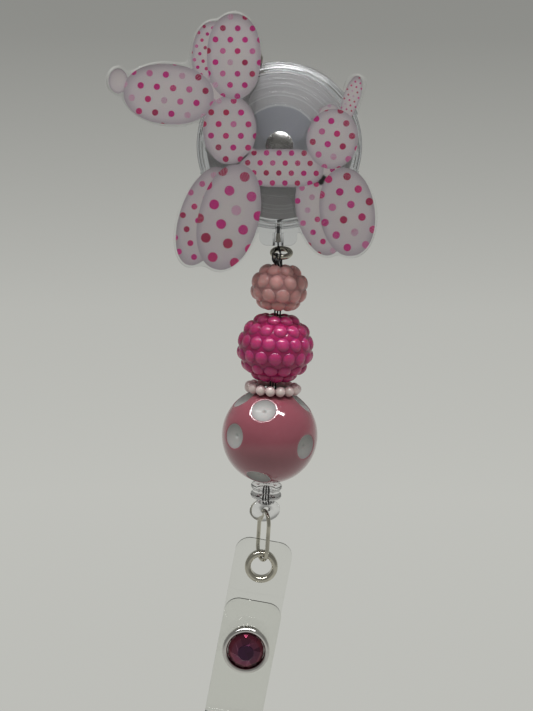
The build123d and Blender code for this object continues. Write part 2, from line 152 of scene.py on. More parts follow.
def lathe(profile, steps, bm=None):
    """Spin a closed profile of (radius, height) points about Z. Millimetres."""
    bm = bm or bmesh.new()
    verts = [bm.verts.new((radius * MM, 0, height * MM)) for radius, height in profile]
    edges = [bm.edges.new(pair) for pair in zip(verts, verts[1:] + verts[:1])]
    bmesh.ops.spin(bm, geom=verts + edges, cent=(0, 0, 0), axis=(0, 0, 1), angle=2 * pi,
                   steps=steps, use_merge=True)
    bmesh.ops.remove_doubles(bm, verts=bm.verts, dist=1e-8)
    return bm


def arc(cx, cy, radius, start, end, count):
    """Points on an arc of a profile, angles in degrees."""
    return [(cx + radius * cos(radians(start + (end - start) * k / count)),
             cy + radius * sin(radians(start + (end - start) * k / count))) for k in range(count + 1)]


def sharpen(piece, angle):
    """Keep the shading crisp across edges sharper than an angle."""
    mesh = piece.data
    bm = bmesh.new()
    bm.from_mesh(mesh)
    for edge in bm.edges:
        if len(edge.link_faces) == 2 and edge.calc_face_angle(0) > radians(angle):
            edge.smooth = False
    bm.to_mesh(mesh)
    bm.free()


FRONT = Matrix(((1, 0, 0, 0), (0, 0, -1, 0), (0, 1, 0, 0), (0, 0, 0, 1)))   # z becomes depth


def turned(point):
    """Matrix that stands a lathe on the strap's face at a point: its axis runs forward."""
    return Matrix.Translation((point.x, 0, point.z)) @ FRONT


# ---- shader maths ----
class Value:
    """A socket on which Python arithmetic adds Math nodes."""

    def __init__(self, nodes, socket):
        self.nodes, self.socket = nodes, socket

    def math(self, operation, *others):
        inputs = {0: self}
        inputs.update({k + 1: other for k, other in enumerate(others)})
        return self.nodes.node("ShaderNodeMath", {"operation": operation}, inputs).out(0)

    def __add__(self, other):
        return self.math("ADD", other)

    def __sub__(self, other):
        return self.math("SUBTRACT", other)

    def __mul__(self, other):
        return self.math("MULTIPLY", other)

    __radd__ = __add__
    __rmul__ = __mul__

    def __rsub__(self, other):
        return (self * -1.0) + other

    def limited(self):
        """Keep the result between 0 and 1."""
        self.socket.node.use_clamp = True
        return self

    def below(self, limit, blur):
        """1 under the limit, 0 over it, with a soft border."""
        return ((limit - self) * (1.0 / blur) + 0.5).limited()


class Node:
    def __init__(self, nodes, node):
        self.nodes, self.node = nodes, node

    def out(self, key=0):
        return Value(self.nodes, self.node.outputs[key])


class Nodes:
    """The node tree of one material, or of the world."""

    def __init__(self, tree):
        self.tree = tree
        tree.nodes.clear()

    def node(self, kind, settings, inputs):
        """Add a node; settings are its properties, inputs its socket values or links."""
        made = self.tree.nodes.new(kind)
        for key, value in settings.items():
            if key == "ramp":
                ramp = made.color_ramp
                while len(ramp.elements) < len(value):
                    ramp.elements.new(0.5)
                for element, (position, colour) in zip(ramp.elements, value):
                    element.position, element.color = position, (*colour, 1.0)
            else:
                setattr(made, key, value)
        for key, value in inputs.items():
            socket = made.inputs[key.replace("_", " ") if isinstance(key, str) else key]
            if isinstance(value, Value):
                self.tree.links.new(value.socket, socket)
            elif hasattr(socket, "default_value"):
                if isinstance(value, (tuple, list)) and len(socket.default_value) == 4 and len(value) == 3:
                    value = (*value, 1.0)
                socket.default_value = value
        return Node(self, made)

    def split(self, vector):
        parts = self.node("ShaderNodeSeparateXYZ", {}, {0: vector})
        return parts.out(0), parts.out(1), parts.out(2)

    def ramp(self, factor, *stops):
        return self.node("ShaderNodeValToRGB", {"ramp": stops}, {0: factor}).out(0)

    def mix(self, factor, one, two):
        return self.node("ShaderNodeMix", {"data_type": "RGBA"}, {0: factor, 6: one, 7: two}).out(2)


class Paint(Nodes):
    """A node material with one Principled shader."""

    def __init__(self, name, **settings):
        self.material = bpy.data.materials.new(name)
        self.material.use_nodes = True
        super().__init__(self.material.node_tree)
        self.shader = self.node("ShaderNodeBsdfPrincipled", {}, settings)
        self.node("ShaderNodeOutputMaterial", {}, {0: self.shader.out(0)})
        self.coords = self.node("ShaderNodeTexCoord", {}, {}).out("Object")

    def set(self, **links):
        for key, value in links.items():
            self.tree.links.new(value.socket, self.shader.node.inputs[key.replace("_", " ")])

    def attribute(self, name, key="Fac"):
        return self.node("ShaderNodeAttribute", {"attribute_name": name}, {}).out(key)

    def noise(self, scale, detail=3.0):
        return self.node("ShaderNodeTexNoise", {}, {
            "Vector": self.coords, "Scale": scale, "Detail": detail}).out(0)

    def bump(self, height, strength, distance=0.0001):
        self.set(Normal=self.node("ShaderNodeBump", {}, {
            "Strength": strength, "Distance": distance, "Height": height}).out(0))


MATERIALS = {}


def material(name, build):
    if name not in MATERIALS:
        MATERIALS[name] = build(name).material
    return MATERIALS[name]


def clear_plastic(name, tint=(1, 1, 1), ior=1.49, roughness=0.02, wear=0.04, scale=400):
    """Moulded clear plastic: glassy, with faint flow marks and rubbed patches."""
    def build(label):
        paint = Paint(label, Base_Color=tint, Transmission_Weight=1.0, IOR=ior, Roughness=roughness)
        smear = paint.noise(scale)
        paint.set(Roughness=smear * wear + roughness)
        paint.bump(paint.noise(scale * 0.4), 0.03)
        return paint
    return material(name, build)


def polished_metal(name, colour, roughness=0.12, scratch=0.14):
    """Plated metal with fine rubbing and slightly duller low patches."""
    def build(label):
        paint = Paint(label, Base_Color=colour, Metallic=1.0, Roughness=roughness)
        rub = paint.noise(900, 5)
        paint.set(Roughness=rub * scratch + roughness)
        dull = tuple(c * 0.72 for c in colour)
        paint.set(Base_Color=paint.ramp(paint.noise(260), (0.35, dull), (0.6, colour)))
        paint.bump(rub, 0.05)
        return paint
    return material(name, build)


def studded_resin(name, painted_recess_shade, light, scatter):
    """Glossy, slightly clear cast resin, with painted shade darkening its colour between the studs."""
    def build(label):
        paint = Paint(label, Roughness=0.1, Transmission_Weight=0.22, Subsurface_Weight=0.4,
                      Subsurface_Scale=0.0012, Subsurface_Radius=scatter, IOR=1.5)
        high = paint.attribute("stud")
        cloud = paint.noise(420, 4)
        # painted shade: the colour darkens from the studs' tops down into the gaps between them
        paint.set(Base_Color=paint.ramp(high * 0.75 + cloud * 0.3, (0.1, painted_recess_shade), (0.85, light)))
        paint.set(Roughness=cloud * 0.14 + 0.05)
        return paint
    return material(name, build)


def cord_fabric():
    """Braided black cord: crossed ridges along each strand."""
    def build(label):
        paint = Paint(label, Roughness=0.55, Sheen_Weight=0.3, Sheen_Roughness=0.4)
        braid = paint.node("ShaderNodeTexWave", {"bands_direction": "DIAGONAL"}, {
            "Vector": paint.coords, "Scale": 900.0, "Distortion": 2.0, "Detail": 2.0}).out(1)
        paint.set(Base_Color=paint.ramp(braid, (0.0, (0.004, 0.004, 0.005)), (1.0, (0.03, 0.03, 0.034))))
        paint.bump(braid, 0.5, 0.00008)
        return paint
    return material("black_cord", build)


# ---- topper ----
# each balloon: middle x and z, half width and height, turn, dot spacing, row spacing, dot size, its
# layer from the back, and the power that rounds its outline; millimetres and degrees
BALLOONS = (
    (-14.5, -13.8, 4.6, 9.9, -19, 3.1, 2.3, 1.15, 0, 1.0),
    (7.9, -12.9, 4.4, 8.4, 15, 2.85, 2.2, 1.1, 0, 1.0),
    (-13.2, 17.2, 3.6, 5.7, -9, 1.66, 1.27, 0.66, 1, 0.9),
    (13.6, 8.9, 1.55, 4.3, -17, 1.0, 0.9, 0.36, 1, 0.9),
    (-30.9, 11.7, 1.8, 2.3, 0, 2.4, 1.8, 0.0, 1, 1.0), (-21.3, 9.3, 8.6, 5.6, -4, 3.1, 2.4, 1.2, 2, 0.92),
    (-9.6, 2.7, 5.1, 6.5, 0, 2.85, 2.2, 1.15, 3, 1.0), (9.2, 6.5, 1.9, 1.1, 18, 2.0, 1.6, 0.7, 3, 1.0),
    (10.1, 1.2, 4.9, 5.7, -8, 2.9, 2.2, 1.2, 4, 1.0), (0.5, -4.4, 8.0, 3.65, 0, 2.4, 1.9, 1.06, 3, 0.72),
    (-8.9, 16.4, 5.1, 7.9, 0, 2.8, 2.1, 1.1, 4, 0.9), (-9.7, -13.9, 5.8, 10.4, -14, 4.4, 3.3, 1.9, 5, 0.95),
    (13.2, -12.7, 5.3, 8.5, 9, 3.6, 2.7, 1.45, 5, 0.95), (-12.0, 9.2, 2.7, 3.3, 0, 3.1, 2.4, 1.2, 0, 1.0),
    (-5.6, -2.6, 2.0, 2.0, 0, 2.4, 1.9, 1.0, 0, 1.0), (9.6, -5.6, 2.8, 2.4, 0, 2.4, 1.9, 1.0, 0, 1.0),
)
LAYER_STEP = 0.015 * MM
DOT_COLOURS = (
    (0.0, (0.72, 0.0, 0.27)), (0.3, (0.74, 0.01, 0.2)), (0.52, (0.5, 0.0, 0.07)), (0.72, (0.78, 0.2, 0.46)),
    (0.86, (0.76, 0.54, 0.68)),
)
SKIN = ((0.3, (0.84, 0.77, 0.77)), (0.8, (0.78, 0.70, 0.73)), (1.0, (0.56, 0.48, 0.54)))


def printed_film():
    """Printed balloons: pale skin shaded at the edges, with staggered dots in mixed pinks."""
    def build(label):
        paint = Paint(label, Roughness=0.35, Coat_Weight=0.3, Coat_Roughness=0.05)
        across, rows, stretch = paint.split(paint.attribute("cell", "Vector"))
        size = paint.attribute("dot")
        row = rows.math("ROUND")
        stagger = row.math("MODULO", 2.0).math("ABSOLUTE") * 0.5
        column = (across + stagger).math("ROUND")
        dx = across + stagger - column
        dy = (rows - row) * stretch
        reach = (dx * dx + dy * dy).math("SQRT")
        place = paint.node("ShaderNodeCombineXYZ", {}, {0: column, 1: row * 1.37, 2: size * 31.0}).out(0)
        pick = paint.node("ShaderNodeTexWhiteNoise", {"noise_dimensions": "3D"}, {"Vector": place})
        wobble = paint.noise(1400, 2) * 0.03
        dot = (reach + wobble).below(size + 0.015, 0.03)
        hue = paint.ramp(pick.out("Value"), *DOT_COLOURS)
        hue.socket.node.color_ramp.interpolation = "CONSTANT"
        skin = paint.ramp(paint.attribute("rim"), *SKIN)
        paint.set(Base_Color=paint.mix(dot, skin, hue))
        return paint
    return material("printed_film", build)


def printed_layer():
    """One thin disc for each balloon, overlapping as they were drawn."""
    bm = bmesh.new()
    cell = bm.verts.layers.float_vector.new("cell")
    rim = bm.verts.layers.float.new("rim")
    dot = bm.verts.layers.float.new("dot")
    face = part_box("topper_print")[1][1]
    for x, z, half_w, half_h, turn, step_x, step_z, size, layer, square in BALLOONS:
        fan = bmesh.ops.create_circle(bm, cap_ends=True, cap_tris=True, segments=72, radius=1.0)["verts"]
        lean = Matrix.Rotation(radians(-turn), 4, "Y")
        for vert in fan:
            c, s = vert.co.x, vert.co.y
            px = half_w * abs(c) ** square * (1 if c >= 0 else -1)
            pz = half_h * abs(s) ** square * (1 if s >= 0 else -1)
            vert[rim] = min(1.0, Vector((c, s)).length)
            vert[cell] = (px / step_x + 0.25, pz / step_z + 0.5, step_z / step_x)
            vert[dot] = size / 2 / step_x
            place = lean @ Vector((px, 0, pz))
            vert.co = Vector(((x + place.x) * MM, face - (layer + 1) * LAYER_STEP, (z + place.z) * MM))
    return to_object(bm, "printed_balloons", printed_film(), "reel",
                     smooth=False, replaces=("topper_print",), recalc=False)


def clear_layer(node, shade, front_bevel):
    """The clear sheet from its frame node, with hollow corners filled and a rounded front edge."""
    longest_edge = 0.9 * MM
    passes = 14
    hollow_limit = radians(7)
    low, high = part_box(node)
    bm = bmesh.new()
    bm.from_mesh(frame["nodes"][node].data)
    bmesh.ops.remove_doubles(bm, verts=bm.verts, dist=2e-6)
    back = {face for face in bm.faces if face.normal.y > 0.9 and face.calc_center_median().y > high[1] - 1e-5}
    bmesh.ops.delete(bm, geom=[face for face in bm.faces if face not in back], context="FACES")
    bmesh.ops.dissolve_limit(bm, angle_limit=radians(1), verts=bm.verts, edges=bm.edges)
    long_edges = [edge for edge in bm.edges if edge.is_boundary and edge.calc_length() > longest_edge]
    bmesh.ops.subdivide_edges(bm, edges=long_edges, cuts=2)
    for _ in range(passes):
        hollow = [vert for vert in bm.verts if vert.is_boundary and hollow_corner(vert) > hollow_limit]
        bmesh.ops.smooth_vert(bm, verts=hollow, factor=0.5, use_axis_x=True, use_axis_z=True)
    for vert in bm.verts:
        vert.co.y = high[1]
    grown = bmesh.ops.extrude_face_region(bm, geom=bm.faces[:])
    moved = [item for item in grown["geom"] if isinstance(item, bmesh.types.BMVert)]
    bmesh.ops.translate(bm, verts=moved, vec=(0, low[1] - high[1], 0))
    bmesh.ops.recalc_face_normals(bm, faces=bm.faces)
    front = [edge for edge in bm.edges if all(abs(vert.co.y - low[1]) < 1e-6 for vert in edge.verts)
             and edge.calc_face_angle(0) > radians(60)]
    if front_bevel:
        bmesh.ops.bevel(bm, geom=front, offset=front_bevel, offset_type="OFFSET", segments=5,
                        profile=0.5, affect="EDGES", material=-1, clamp_overlap=True)
    piece = to_object(bm, node, shade, "reel", replaces=(node,))
    sharpen(piece, 40)
    return piece


def hollow_corner(vert):
    """How far the outline turns inward at a border vertex, in radians; 0 where it turns outward."""
    edges = [edge for edge in vert.link_edges if edge.is_boundary]
    if len(edges) != 2:
        return 0.0
    first, second = (edge.other_vert(vert).co - vert.co for edge in edges)
    bend = pi - first.angle(second, pi)
    middle = (first.normalized() + second.normalized()) / 2
    face = vert.link_faces[0]
    probe = vert.co + middle.normalized() * 0.05 * MM if middle.length > 1e-6 else vert.co
    inside = bmesh.geometry.intersect_face_point(face, Vector((probe.x, vert.co.y, probe.z)))
    return 0.0 if inside else bend


# ---- beads ----
def on_string(node):
    return STRING @ Matrix.Translation((0, 0, -down_string(node)))


# set in the radius of one stud: how far the core lies inside the bead's size, how deep a stud's middle
# is sunk in it, their spacing round a row, and how much each is pressed flat
CORE_INSET = (0.32, 0.34)
STUD_SINK = (0.38, 0.1)
STUD_PITCH = 1.95
STUD_FLATNESS = 0.32


def studded_bead(name, radius, half_height, rows, reach, stud, shade):
    """A resin core with rows of round studs set into it, up to an angle of reach from its middle."""
    bm = bmesh.new()
    level = bm.verts.layers.float.new("stud")
    bore = 1.25
    core_r, core_h = radius - stud * CORE_INSET[0], half_height - stud * CORE_INSET[1]
    top = sqrt(1 - (bore / core_r) ** 2)
    outer = [(core_r * cos(asin(top) * (2 * k / 40 - 1)), core_h * sin(asin(top) * (2 * k / 40 - 1)))
             for k in range(41)]
    lathe([(bore, -core_h * top)] + outer + [(bore, core_h * top)], steps=72, bm=bm)
    for row in range(rows):
        tilt = radians(reach * (2 * row / (rows - 1) - 1))
        ring_r = (core_r - stud * STUD_SINK[0]) * cos(tilt)
        height = (core_h - stud * STUD_SINK[1]) * sin(tilt)
        count = round(2 * pi * (ring_r + stud * 0.4) / (stud * STUD_PITCH))
        for k in range(count):
            angle = 2 * pi * (k + 0.5 * (row % 2)) / count
            made = bmesh.ops.create_icosphere(bm, subdivisions=3, radius=stud * MM)["verts"]
            shift = Vector((ring_r * cos(angle), ring_r * sin(angle), height))
            bmesh.ops.translate(bm, verts=made, vec=shift * MM)
            away = Vector((shift.x, shift.y, height * core_r / core_h)).normalized()
            for vert in made:
                rise = (vert.co / MM - shift).dot(away)
                # the rise over the core, which sets the painted shade between the studs
                vert[level] = max(0.0, rise / stud)
                vert.co -= away * rise * STUD_FLATNESS * MM
    return to_object(bm, name, shade, name, place=on_string(name), replaces=(name,))


# the dished dots that face the front: direction from the bead's middle; the back has their mirror
DOTS = ((-13, 42), (-49, 4), (50, -4), (-19, -54), (-78, 52), (84, 50))
POLKA_PINK = ((0.3, (0.26, 0.066, 0.09)), (0.7, (0.30, 0.08, 0.108)))
# dot colours from a dish's middle outward: chalk, with painted shade darkening towards the dish's rim
CHALK_AND_RIM_SHADE = ((0.2, (0.42, 0.41, 0.40)), (0.75, (0.35, 0.345, 0.335)), (1.0, (0.30, 0.29, 0.29)))


def dot_directions():
    for azimuth, height in DOTS:
        a, h = radians(azimuth), radians(height)
        front = Vector((sin(a) * cos(h), -cos(a) * cos(h), sin(h)))
        yield front
        yield -front


def polka_bead():
    """A glossy round bead with dished chalky dots, each with a small pit in its middle and painted shade
    towards its rim.
    """
    radius, bore = 9.9, 1.3
    dish_r, dish_depth, pit_depth, rim_depth = 2.6, 1.05, 0.3, 0.02
    half = asin(sqrt(1 - (bore / radius) ** 2))
    side = [(radius * cos(half * (2 * k / 150 - 1)), radius * sin(half * (2 * k / 150 - 1)))
            for k in range(151)]
    bm = lathe(side + [(bore - 0.02, side[-1][1] - 0.3), (bore - 0.02, side[0][1] + 0.3)], steps=240)
    dish = bm.verts.layers.float.new("dish")
    spread = asin(dish_r / radius)
    for vert in bm.verts:
        outward = vert.co.normalized()
        vert[dish] = 2.0
        if vert.co.length < (radius - 0.5) * MM:
            continue
        for dot in dot_directions():
            share = outward.angle(dot) / spread
            vert[dish] = min(vert[dish], share)
            if share < 1.12:
                bowl = (1 - min(1.0, share) ** 2) ** 0.8
                rim = exp(-((share - 1.0) / 0.1) ** 2)
                pit = exp(-(share / 0.13) ** 2)
                vert.co -= outward * MM * (dish_depth * bowl + pit_depth * pit + rim_depth * rim)

    def build(label):
        paint = Paint(label, Roughness=0.14, Coat_Weight=1.0, Coat_Roughness=0.03, IOR=1.5,
                      Subsurface_Weight=0.12, Subsurface_Scale=0.001, Subsurface_Radius=(1.0, 0.4, 0.4))
        ragged = paint.attribute("dish") + paint.noise(700, 3) * 0.05
        white = ragged.below(1.0, 0.05)
        cloud = paint.noise(130, 4)
        # chalk with painted shade towards each dish's rim
        chalk_and_rim_shade = paint.ramp(ragged + cloud * 0.1, *CHALK_AND_RIM_SHADE)
        paint.set(Base_Color=paint.mix(white, paint.ramp(cloud, *POLKA_PINK), chalk_and_rim_shade))
        paint.set(Roughness=white * 0.4 + (cloud * 0.08 + 0.06))
        paint.set(Coat_Weight=1.0 - white * 0.9)
        return paint

    return to_object(bm, "polka_bead", material("polka_enamel", build), "polka_bead",
                     place=on_string("polka_bead"), replaces=("polka_bead",))


def pearl_spacer():
    """A ring of moulded pearls joined by a thin band, with painted sheen darkening their rims."""
    bm = bmesh.new()
    circle_r, pearl_r, count = 4.85, 1.05, 15
    for k in range(count):
        made = bmesh.ops.create_icosphere(bm, subdivisions=3, radius=pearl_r * MM)["verts"]
        angle = 2 * pi * k / count
        shift = Vector((circle_r * cos(angle), circle_r * sin(angle), 0)) * MM
        bmesh.ops.translate(bm, verts=made, vec=shift)
    join(bm, lathe([(circle_r - 0.75 + dx, dz) for dx, dz in arc(0, 0, 0.42, 0, 330, 11)], steps=72))

    def build(label):
        paint = Paint(label, Roughness=0.18, Coat_Weight=1.0, Coat_Roughness=0.06, Specular_IOR_Level=0.7,
                      Sheen_Weight=0.3, Sheen_Roughness=0.3)
        cloud = paint.noise(500, 3)
        # painted sheen: the pearls' colour darkens and turns pinker towards their rims as they turn from the
        # view
        edge = paint.node("ShaderNodeLayerWeight", {}, {"Blend": 0.45}).out("Facing")
        paint.set(Base_Color=paint.ramp(edge * 0.8 + cloud * 0.2, (0.1, (0.74, 0.62, 0.58)),
                                        (0.6, (0.68, 0.5, 0.5)), (0.95, (0.5, 0.34, 0.38))))
        paint.set(Roughness=cloud * 0.15 + 0.1)
        return paint

    return to_object(bm, "pearl_spacer", material("pearl", build), "pearl_spacer",
                     place=on_string("pearl_spacer"), replaces=("pearl_spacer",))


def clear_bead():
    return clear_plastic("clear_bead", (0.97, 0.97, 0.98), ior=1.52)


def clear_rondelle():
    """Two rounded discs with a groove between them."""
    bore, shoulder, disc_r, disc_z, edge_r = 1.3, 2.0, 2.45, 0.9, 0.78
    profile = ([(bore, -1.7), (shoulder, -1.75)] + arc(disc_r, -disc_z, edge_r, -80, 62, 8)
               + arc(disc_r, disc_z, edge_r, -62, 80, 8) + [(shoulder, 1.75), (bore, 1.7)])
    piece = to_object(lathe(profile, steps=36), "clear_rondelle", clear_bead(), "rondelle",
                      place=on_string("clear_rondelle"), replaces=("clear_rondelle",))
    sharpen(piece, 50)
    return piece


def end_loop():
    """A flattened clear ring whose hole takes the link, under a small neck."""
    flattening = 0.73
    neck_height = 0.9
    bm = lathe([(1.3, -1.2)] + arc(2.3, 0, 1.05, -80, 80, 12) + [(1.3, 1.2)] + arc(1.5, 0, 0.6, 110, 250, 8),
               steps=64)
    bmesh.ops.scale(bm, verts=bm.verts, vec=(1.0, flattening, 1.0))
    middle = centre("end_loop")
    out = Vector((LINK_AXIS.x, LINK_AXIS.y, 0)).normalized()
    turn = Matrix((STRING_UP.cross(out).normalized(), STRING_UP, out)).transposed().to_4x4()
    bmesh.ops.transform(bm, matrix=Matrix.Translation(middle) @ turn, verts=bm.verts)
    neck = lathe([(0.95, 0.0), (1.7, 0.0), (1.9, 0.3), (1.7, neck_height), (0.95, neck_height)], steps=36)
    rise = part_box("end_loop")[1][2] - middle.z - neck_height * MM
    place = Matrix.Translation(middle + STRING_UP * rise) @ STRING.to_3x3().to_4x4()
    bmesh.ops.transform(neck, matrix=place, verts=neck.verts)
    join(bm, neck)
    return to_object(bm, "end_loop", clear_bead(), "bead_string", replaces=("end_loop",))


# ---- cords ----
def tube(name, points, radius, body, replaces=(), turns=24):
    """A round cord along a smooth line through the points."""
    curve = bpy.data.curves.new(name, "CURVE")
    curve.dimensions = "3D"
    curve.bevel_depth = radius * MM
    curve.bevel_resolution = 3
    curve.use_fill_caps = True
    curve.resolution_u = turns
    spline = curve.splines.new("NURBS")
    spline.points.add(len(points) - 1)
    for point, place in zip(spline.points, points):
        point.co = (*place, 1.0)
    spline.order_u = 3
    spline.use_endpoint_u = True
    piece = new_object(name, curve)
    mesh = bpy.data.meshes.new_from_object(piece)
    bpy.data.objects.remove(piece)
    piece = new_object(name, mesh)
    for polygon in mesh.polygons:
        polygon.use_smooth = True
    mesh.materials.clear()
    mesh.materials.append(cord_fabric())
    if replaces:
        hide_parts(*replaces)
    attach(piece, body)
    return piece


def bead_strands():
    """Loops of thin cord over the ring's front wire, whose legs run down through the beads."""
    strand_r = 0.17
    low = down_string("end_loop") / MM - 1.6
    loops = ((-1.75, -1.4, -0.55), (-1.05, -0.65, 0.0), (-0.3, 0.1, 0.55))
    made = []
    for index, (front_x, rear_x, seat) in enumerate(loops):
        # bottom of one leg, up through the bore, over the wire and back down beside it
        path = [(seat, -0.35, -low), (seat, -0.4, -low / 2), (seat, -0.45, -4.0),
                (seat * 0.8 - 0.3, -0.6, -2.6), (front_x, -2.3, -1.5), (front_x, -2.6, -0.6),
                (front_x + 0.05, -1.75, 0.05), (rear_x, -0.8, -0.5), (rear_x, -0.3, -1.6),
                (seat * 0.8 - 0.2, 0.1, -2.8), (seat, 0.4, -4.2), (seat, 0.4, -low / 2), (seat, 0.35, -low)]
        places = [STRING @ (Vector(point) * MM) for point in path]
        made.append(tube(f"bead_strand_{index + 1}", places, strand_r, "bead_string",
                         replaces=("bead_cord",) if index == 0 else (), turns=8))
    return made


def wound_cord():
    """The cord's turns on the spool: layers of helical turns, side by side."""
    low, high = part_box("wound_cord")
    cord_r, inner, gap = 0.43, 8.9, 0.03
    layers, turns, steps = 3, 4, 72
    step = (high[0] / MM - inner) / layers
    width = (high[1] - low[1]) / MM
    rise = (width - 2 * cord_r - 2 * gap) / (turns * steps)
    bm = bmesh.new()
    for layer in range(layers):
        made = bmesh.ops.create_circle(bm, segments=8, radius=cord_r * MM)["verts"]
        bmesh.ops.rotate(bm, verts=made, cent=(0, 0, 0), matrix=Matrix.Rotation(pi / 2, 3, "X"))
        start = Vector((inner + step * (layer + 0.5), 0, -width / 2 + cord_r + gap))
        bmesh.ops.translate(bm, verts=made, vec=start * MM)
        edges = list({edge for vert in made for edge in vert.link_edges})
        bmesh.ops.spin(bm, geom=made + edges, cent=(0, 0, 0), axis=(0, 0, 1), dvec=(0, 0, rise * MM),
                       angle=2 * pi * turns, steps=steps * turns)
    place = FRONT @ Matrix.Translation((0, 0, -(low[1] + high[1]) / 2))
    return to_object(bm, "wound_cord_turns", cord_fabric(), "spool", place=place,
                     replaces=("wound_cord",))


def pull_cord():
    """The stretch between the outlet and the ring, which grows as the cord is pulled, and its end's loop."""
    cord_r, loop_r = 0.42, 0.24
    low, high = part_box("cord_ferrule")
    x, y = (low[0] + high[0]) / 2, (low[1] + high[1]) / 2
    bm = bmesh.new()
    made = bmesh.ops.create_cone(bm, cap_ends=True, segments=16, radius1=cord_r * MM, radius2=cord_r * MM,
                                 depth=high[2] - low[2] + 0.6 * MM)["verts"]
    bmesh.ops.translate(bm, verts=made, vec=(x, y, (high[2] + low[2]) / 2 + 0.15 * MM))
    sides = [edge for edge in bm.edges if abs(edge.verts[0].co.z - edge.verts[1].co.z) > 0.5 * MM]
    bmesh.ops.subdivide_edges(bm, edges=sides, cuts=40)
    piece = to_object(bm, "pull_cord", cord_fabric(), None)
    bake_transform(piece)
    tied = Vector((x, y, low[2] + 0.4 * MM))
    # down to the ring, round its wire and back up: sideways and up from the ring's middle, back from the cord
    turns = ((-0.5, 1.0, 0.9), (-0.3, 2.4, 0.9), (-0.2, 2.3, -0.1), (-0.3, 1.0, 0.2))
    wrap = [Vector((RING.x + dx * MM, y + dy * MM, RING.z + dz * MM)) for dx, dy, dz in turns]
    path = [tied, Vector((x, y, RING.z + 1.5 * MM)), *wrap,
            Vector((x, y + 0.2 * MM, RING.z + 1.4 * MM)), tied]
    return piece, tube("cord_end_loop", path, loop_r, "cord_end")


# ---- strap and snap ----
def vinyl():
    def build(label):
        paint = Paint(label, Base_Color=(0.93, 0.935, 0.915), Transmission_Weight=1.0, IOR=1.45)
        ripple = paint.noise(160, 2)
        paint.set(Roughness=paint.noise(700, 4) * 0.03 + 0.005)
        paint.bump(ripple, 0.2, 0.0004)
        return paint
    return material("clear_vinyl", build)


def ribbon_width(run, width, round_r):
    """Half width near a rounded end, at a distance from that end."""
    if run >= round_r:
        return width / 2
    return width / 2 - round_r + sqrt(max(0.0, round_r ** 2 - (round_r - run) ** 2))


def quarter(k):
    """The angle of step k of eight round a quarter turn."""
    return pi / 2 * k / 8


def strap_path(back, front, snap_down):
    """The strip from its rounded top down the back, round the fold and up the flap.

    Each row is its distance from the nearer rounded end, its depth and its height, in millimetres."""
    corner, top, drop, flap_rise = 3.0, 5.7, 31.65, 10.6
    straight = 99        # far from both rounded ends
    fold_r = (front - back) / 2
    flap_top = flap_rise - snap_down
    rows = [(corner * (1 - cos(quarter(k))), back, top - corner * (1 - cos(quarter(k)))) for k in range(9)]
    rows += [(straight, back, top - corner - (drop + top - corner) * k / 24) for k in range(1, 25)]
    rows += [(straight, back + fold_r * (1 - cos(pi * k / 14)), -drop - fold_r * sin(pi * k / 14))
             for k in range(1, 15)]
    rows += [(straight, front, -drop + (flap_top - corner + drop) * k / 20) for k in range(1, 21)]
    rows += [(corner * (1 - sin(quarter(k))), front, flap_top - corner + corner * sin(quarter(k)))
             for k in range(1, 9)]
    return rows


def strap_strip():
    """One folded strip of clear film with its two holes."""
    width, corner, thick = 12.0, 3.0, 0.5
    eyelet_hole, snap_hole = 2.5, 1.4
    back = -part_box("strap")[1][1] / MM + thick / 2
    front = -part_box("strap_flap")[0][1] / MM - thick / 2
    snap_down = (EYELET - SNAP).dot(STRAP_UP) / MM
    origin = Vector((EYELET.x, 0, EYELET.z))
    bm = bmesh.new()
    previous = None
    for run, depth, height in strap_path(back, front, snap_down):
        half = ribbon_width(run, width, corner)
        middle = origin + STRAP_UP * (height * MM) + Vector((0, -depth * MM, 0))
        row = [bm.verts.new(middle + STRAP_ACROSS * (half * share * MM))
               for share in (-1, -0.6, -0.2, 0.2, 0.6, 1)]
        if previous:
            for k in range(len(row) - 1):
                bm.faces.new((previous[k], previous[k + 1], row[k + 1], row[k]))
        previous = row
    piece = to_object(bm, "strap_strip", vinyl(), None, replaces=("strap", "strap_flap"))
    layer = piece.modifiers.new("thickness", "SOLIDIFY")
    layer.thickness = thick * MM
    layer.offset = 0
    layer.use_even_offset = True
    holes = [punch(EYELET, eyelet_hole, back - 1, back + 1), punch(SNAP, snap_hole, back - 1, front + 1)]
    for hole in holes:
        cut = piece.modifiers.new("hole", "BOOLEAN")
        cut.object = hole
        cut.operation = "DIFFERENCE"
    soften = piece.modifiers.new("edge", "BEVEL")
    soften.width = 0.08 * MM
    soften.segments = 2
    soften.limit_method = "ANGLE"
    piece.data = bpy.data.meshes.new_from_object(piece.evaluated_get(bpy.context.evaluated_depsgraph_get()))
    piece.modifiers.clear()
    for hole in holes:
        bpy.data.objects.remove(hole)
    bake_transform(piece)
    sharpen(piece, 50)
    return piece


def punch(point, radius, rear, front):
    """A round cutter through the strap between two depths."""
    bm = bmesh.new()
    bmesh.ops.create_cone(bm, cap_ends=True, segments=64, radius1=radius * MM, radius2=radius * MM,
                          depth=(front - rear) * MM)
    bmesh.ops.translate(bm, verts=bm.verts, vec=(0, 0, (front + rear) / 2 * MM))
    bmesh.ops.transform(bm, matrix=turned(point), verts=bm.verts)
    mesh = bpy.data.meshes.new("punch")
    bm.to_mesh(mesh)
    bm.free()
    cutter = new_object("punch", mesh)
    return cutter


